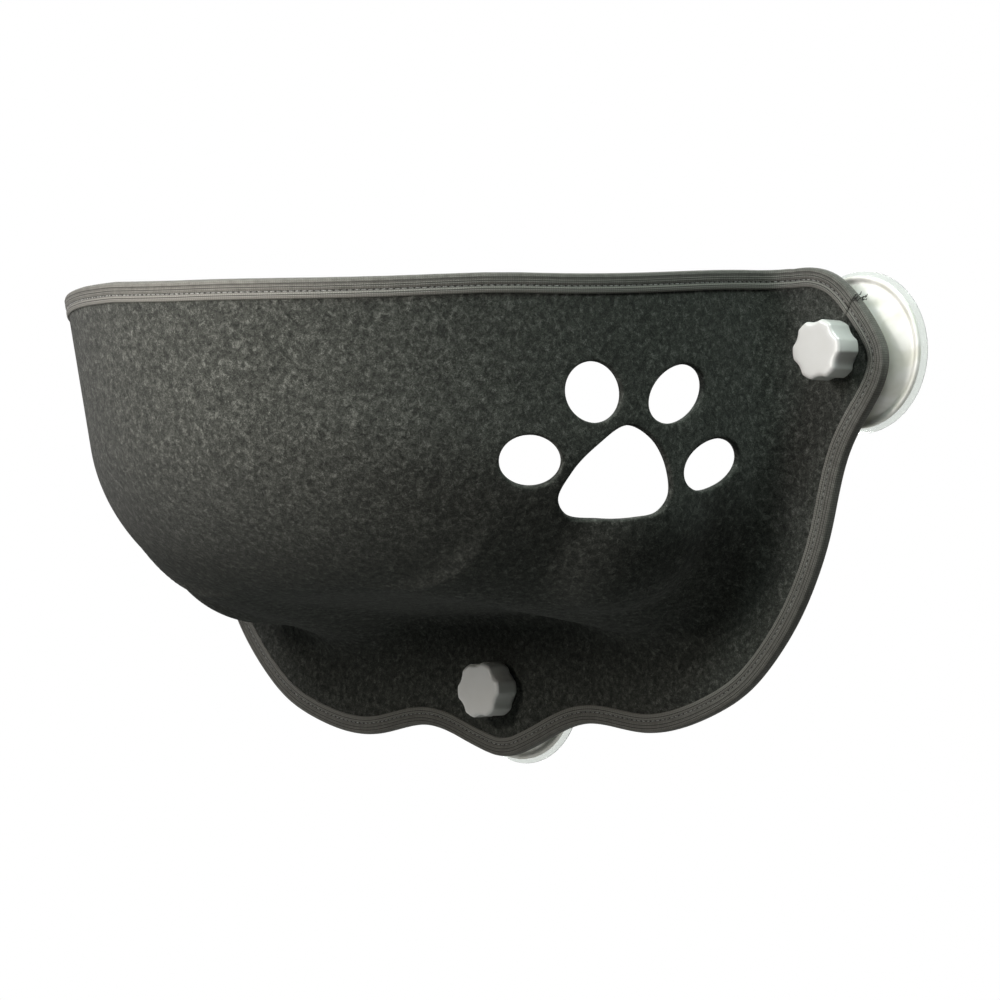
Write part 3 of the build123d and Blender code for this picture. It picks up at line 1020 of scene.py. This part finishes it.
def knob_reach(turns, radius, height):
    """Radius round the knob, drawn in by the six finger scallops on its grip and front edge."""
    if height < lobed_from:
        return np.full(turns.shape, radius)
    pitch = math.tau / knob_lobes
    off = np.mod(turns - knob_rest_turn, pitch) - pitch / 2
    centre = knob_radius - scallop_depth + scallop_radius
    across = np.clip(scallop_radius ** 2 - (centre * np.sin(off)) ** 2, 0, None)
    cut = np.where(across > 0, centre * np.cos(off) - np.sqrt(across), 2 * knob_radius)
    rim = soft_union(np.full(turns.shape, knob_radius), cut, scallop_blend)
    fade = np.clip((radius - scallop_from) / scallop_over, 0, 1)
    return radius - (knob_radius - rim) * fade


def turned_piece(name, section, centre, material, steps=round_steps, reach=None):
    """Solid piece from a closed section turned about a mount's axis."""
    turns = np.linspace(0, math.tau, steps, endpoint=False)
    rings = []
    for radius, height in section:
        out = np.full(steps, radius) if reach is None else reach(turns, radius, height)
        x, z = centre.x + out * np.cos(turns), centre.z + out * np.sin(turns)
        rings.append(np.stack([x, np.full(steps, -height), z], axis=-1))
    rows = np.arange(len(section) * steps).reshape(-1, steps).tolist()
    if section[0][0] > 0:
        rows.append(rows[0])
    return new_piece(name, np.concatenate(rings), bands(rows), material)


def shade_by_angle(piece, degrees):
    """Keeps the piece's sharp corners crisp and the rest smooth."""
    shape = bmesh.new()
    shape.from_mesh(piece.data)
    for line in shape.edges:
        if line.is_manifold and line.calc_face_angle(0) > math.radians(degrees):
            line.smooth = False
    shape.to_mesh(piece.data)
    shape.free()


def pearl_plastic():
    """Pearlescent moulded plastic: its flakes mirror softly, with faint swirled flow marks."""
    material, tree = new_material("pearl_white_plastic")
    place = spot_on(tree)
    flow = cloud(tree, place, 45.0, 2.0, 0.45, 1.6)
    swirl = remap(tree, flow, 0.35, 0.68)
    inputs = {
    "Base Color": mixed(tree, swirl, linear("e6e6da"), linear("f8f8f3")),
    "Roughness": 0.62,
    "Coat Weight": 0.2,
    "Coat Roughness": 0.3,
    "Metallic": 0.42,
    "Normal": bump(tree, flow, 0.25, 0.002),
    }
    surface(tree, inputs)
    return material


def clear_vinyl():
    """Soft clear vinyl with a faint green cast, glossy and see-through."""
    material, tree = new_material("clear_soft_vinyl")
    inputs = {"Roughness": 0.14, "IOR": 1.2, "Transmission Weight": 0.85}
    surface(tree, {"Base Color": linear("f1f6f1"), **inputs})
    return material


def knob_plastic():
    """Off-white moulded plastic with a fine spark-eroded grain."""
    material, tree = new_material("off_white_knob_plastic")
    place = spot_on(tree)
    soil = cloud(tree, place, 70.0, 2.0)
    inputs = {
    "Base Color": mixed(tree, soil, linear("e6e5e0"), linear("f2f2f0")),
    "Roughness": 0.36,
    "Coat Weight": 0.6,
    "Coat Roughness": 0.25,
    "Coat IOR": 1.7,
    "Normal": bump(tree, cloud(tree, place, 1400.0, 1.0), 0.25, 0.0002),
    }
    surface(tree, inputs)
    return material


def plated_metal(name, colour, roughness):
    """Plated metal with fine turning marks in its gloss."""
    material, tree = new_material(name)
    place = spot_on(tree)
    marks = add(tree, "ShaderNodeMapping", {"Vector": place, "Scale": (60.0, 2500.0, 60.0)})
    fine = cloud(tree, marks.outputs[0], 1.0, 2.0)
    rough = remap(tree, fine, 0.0, 1.0, roughness - 0.06, roughness + 0.08)
    surface(tree, {"Base Color": linear(colour), "Metallic": 1.0, "Roughness": rough})
    return material


vinyl, pearl, knob_paint = clear_vinyl(), pearl_plastic(), knob_plastic()
zinc = plated_metal("zinc_plated_steel", "c9ccd0", 0.3)
nickel = plated_metal("nickel_plated_eyelet", "d6d3cb", 0.24)
for place in ("left", "right", "bottom"):
    low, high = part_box(f"{place}_cover")
    centre = (low + high) / 2 / MM
    disc = turned_piece(f"{place}_suction_disc", sucker_section, centre, vinyl)
    dome = turned_piece(f"{place}_domed_cover", cover_section, centre, pearl)
    lobed = (centre, knob_paint, knob_steps, knob_reach)
    grip = turned_piece(f"{place}_hand_knob", knob_section, *lobed)
    for piece, node, body, name in (
        (disc, "sucker", "perch", "soft_vinyl"),
        (dome, "cover", "perch", "pearl_plastic"),
        (grip, "knob", f"{place}_knob", "knob_plastic"),
    ):
        shade_by_angle(piece, crisp_angle)
        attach(piece, body)
        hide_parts(f"{place}_{node}")
    for node, metal in (("stud", zinc), ("washer", zinc), ("knob_nut", zinc), ("eyelet", nickel)):
        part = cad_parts[f"{place}_{node}"]
        part.data.materials.clear()
        part.data.materials.append(metal)

# Stage: a plain pale floor well under the perch, soft studio light, and the camera.
# Three small lamps in the room light the bowl's front, so the right wall falls away into shade. One
# stands high at the right, and one beyond the glass lights the suction discs from the window side.
floor_drop = 0.60
floor_size = 24
floor_fade = (0.7, 1.6, 0.6, 1.0)


def straight_rays(tree):
    """One for rays from the camera and mirrored or let through, nought for scattered ones."""
    seen = add(tree, "ShaderNodeLightPath").outputs
    rays = calc(tree, "MAXIMUM", seen["Is Camera Ray"], seen["Is Glossy Ray"])
    return calc(tree, "MAXIMUM", rays, seen["Is Transmission Ray"])


def stage_floor():
    """Pale floor that fades to plain white far behind the object."""
    middle = (0, 0, shell_low.z * MM - floor_drop)
    bpy.ops.mesh.primitive_plane_add(size=floor_size, location=middle)
    floor = bpy.context.object
    floor.name = "floor"
    material, tree = new_material("pale_floor")
    place = spot_on(tree)
    away = add(tree, "ShaderNodeVectorMath", {0: place}, operation="LENGTH").outputs["Value"]
    fade = remap(tree, away, *floor_fade)
    share = calc(tree, "MULTIPLY", straight_rays(tree), fade)
    paint = add(tree, "ShaderNodeBsdfDiffuse", {"Color": linear("8c8c8a")}).outputs[0]
    white = add(tree, "ShaderNodeEmission", {"Color": (1, 1, 1, 1), "Strength": 1.0}).outputs[0]
    mix = add(tree, "ShaderNodeMixShader", {0: share, 1: paint, 2: white})
    add(tree, "ShaderNodeOutputMaterial", {"Surface": mix.outputs[0]})
    floor.data.materials.append(material)


stage_floor()


def room_light():
    """White surroundings for the camera and for gloss, which light nothing else."""
    world = bpy.data.worlds.new("studio")
    bpy.context.scene.world = world
    world.use_nodes = True
    tree = world.node_tree
    tree.nodes.clear()
    inputs = {"Color": (1, 1, 1, 1), "Strength": straight_rays(tree)}
    sky = add(tree, "ShaderNodeBackground", inputs)
    add(tree, "ShaderNodeOutputWorld", {"Surface": sky.outputs[0]})


room_light()


def lamp(name, place, target, size, power, colour):
    """Square soft lamp aimed at a point."""
    data = bpy.data.lights.new(name, "AREA")
    data.size = size
    data.energy = power
    data.color = linear(colour)[:3]
    lamp_object = new_object(name, data)
    lamp_object.visible_camera = False
    lamp_object.location = place
    ahead = Vector(target) - Vector(place)
    lamp_object.rotation_euler = ahead.to_track_quat("-Z", "Y").to_euler()


lamp("key", (-0.25, -0.95, 0.75), (-0.03, -0.28, 0.15), 0.36, 4.2, "fffcff")
lamp("front", (0.1, -0.65, 0.35), (0, -0.28, 0.14), 0.15, 1.35, "fffafa")
lamp("low_front", (0.03, -0.6, 0.18), (0, -0.28, 0.13), 0.12, 0.75, "fffaf2")
lamp("right", (1.02, -0.37, 1.8), (0, -0.1, 0.1), 0.6, 26.0, "effff8")
lamp("window_side", (-0.55, 1.35, 1.1), (0, -0.1, 0.1), 0.8, 16.0, "ffffff")

camera_place = Vector((1.49894, -1.60341, 0.02243))
camera_yaw = 0.757298
camera_pitch = -0.0414416
camera_roll = -0.0252949
focal_pixels = 3651.87
frame_pixels = 1000
film_width = 36.0


def photo_camera():
    """Camera at the photograph's place and angle."""
    yaw, pitch = camera_yaw, camera_pitch
    flat_x, flat_y = -math.sin(yaw) * math.cos(pitch), math.cos(yaw) * math.cos(pitch)
    ahead = Vector((flat_x, flat_y, -math.sin(pitch)))
    level = Vector((math.cos(yaw), math.sin(yaw), 0))
    upright = level.cross(ahead)
    right = level * math.cos(camera_roll) + upright * math.sin(camera_roll)
    up = upright * math.cos(camera_roll) - level * math.sin(camera_roll)
    data = bpy.data.cameras.new("camera")
    data.sensor_width = film_width
    data.lens = focal_pixels / frame_pixels * film_width
    data.clip_end = 60
    camera = new_object("camera", data)
    turned = Matrix((right, up, -ahead)).transposed().to_4x4()
    camera.matrix_world = Matrix.Translation(camera_place) @ turned
    bpy.context.scene.camera = camera


photo_camera()
bpy.context.scene.view_settings.view_transform = "Standard"
